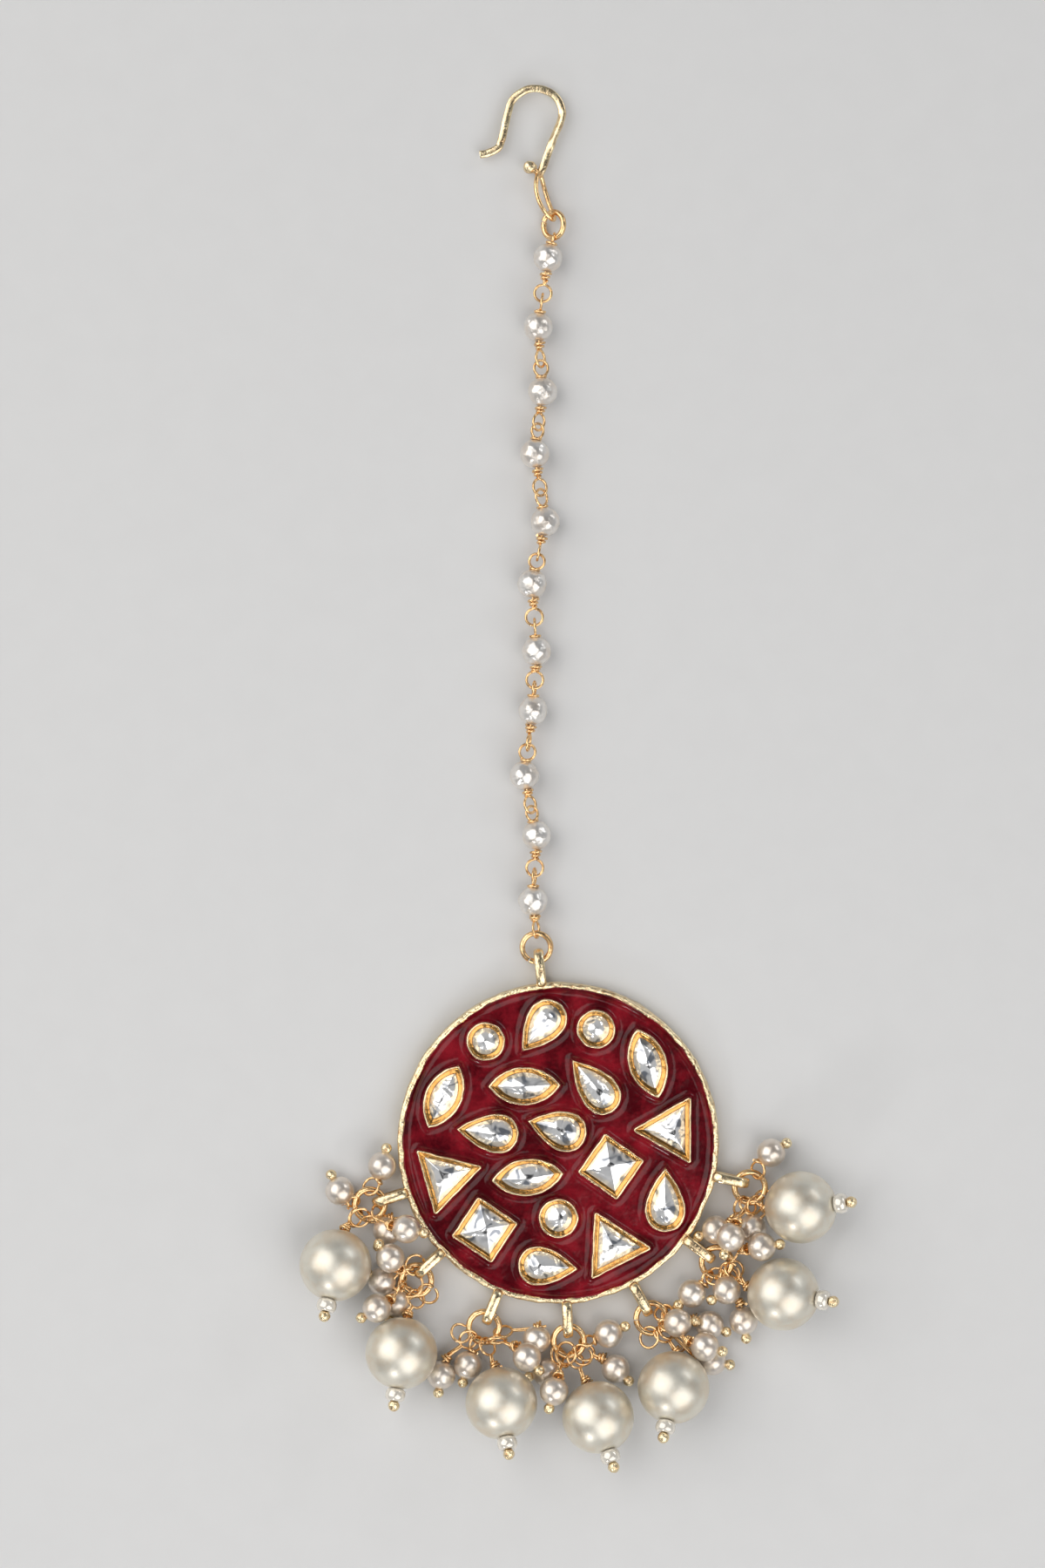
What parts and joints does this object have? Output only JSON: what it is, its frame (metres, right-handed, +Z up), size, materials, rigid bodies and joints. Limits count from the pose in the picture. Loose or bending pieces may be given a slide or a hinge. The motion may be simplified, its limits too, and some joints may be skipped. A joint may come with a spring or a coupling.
{
  "type": "maang tikka forehead jewel",
  "caption": "Round red-enamelled forehead jewel with foil-backed stones, pearl drops round its lower edge and a pearl chain ending in a hair hook, lying flat.",
  "frame": {"origin": "centre of the disc's flat back, on the surface the jewel lies on", "axes": "+Z up out of the disc's face, +Y from the disc along the chain to the hair hook, +X to the right seen from the front"},
  "size_m": [0.063, 0.158, 0.008],
  "materials": {
    "gold": "gold-plated, hammered and pitted, glossy",
    "enamel": "deep translucent red enamel, glossy",
    "glass": "faceted clear glass over silver foil",
    "small_pearl": "rough lustrous pearl on gold wire",
    "large_pearl": "smooth satin pearl on gold wire, with a white seed bead"
  },
  "bodies": {
    "root": {"disc_frame": "gold", "enamel_field": "enamel", "stone_01_round": "glass", "stone_02_pear": "glass", "stone_03_round": "glass", "stone_04_marquise": "glass", "stone_05_marquise": "glass", "stone_06_marquise": "glass", "stone_07_pear": "glass", "stone_08_triangle": "glass", "stone_09_pear": "glass", "stone_10_pear": "glass", "stone_11_triangle": "glass", "stone_12_marquise": "glass", "stone_13_square": "glass", "stone_14_pear": "glass", "stone_15_square": "glass", "stone_16_round": "glass", "stone_17_triangle": "glass", "stone_18_pear": "glass", "hair_hook": "gold", "top_ring": "gold", "bead_link_01": "small_pearl", "bead_link_02": "small_pearl", "bead_link_03": "small_pearl", "bead_link_04": "small_pearl", "bead_link_05": "small_pearl", "bead_link_06": "small_pearl", "bead_link_07": "small_pearl", "bead_link_08": "small_pearl", "bead_link_09": "small_pearl", "bead_link_10": "small_pearl", "bead_link_11": "small_pearl", "bail_ring": "gold", "drop_ring_a": "gold", "large_pearl_a": "large_pearl", "small_pearls_a": "small_pearl", "drop_ring_b": "gold", "large_pearl_b": "large_pearl", "small_pearls_b": "small_pearl", "drop_ring_c": "gold", "large_pearl_c": "large_pearl", "small_pearls_c": "small_pearl", "drop_ring_d": "gold", "large_pearl_d": "large_pearl", "small_pearls_d": "small_pearl", "drop_ring_e": "gold", "large_pearl_e": "large_pearl", "small_pearls_e": "small_pearl", "drop_ring_f": "gold", "large_pearl_f": "large_pearl", "small_pearls_f": "small_pearl", "drop_ring_g": "gold", "large_pearl_g": "large_pearl", "small_pearls_g": "small_pearl"}
  },
  "joints": []
}
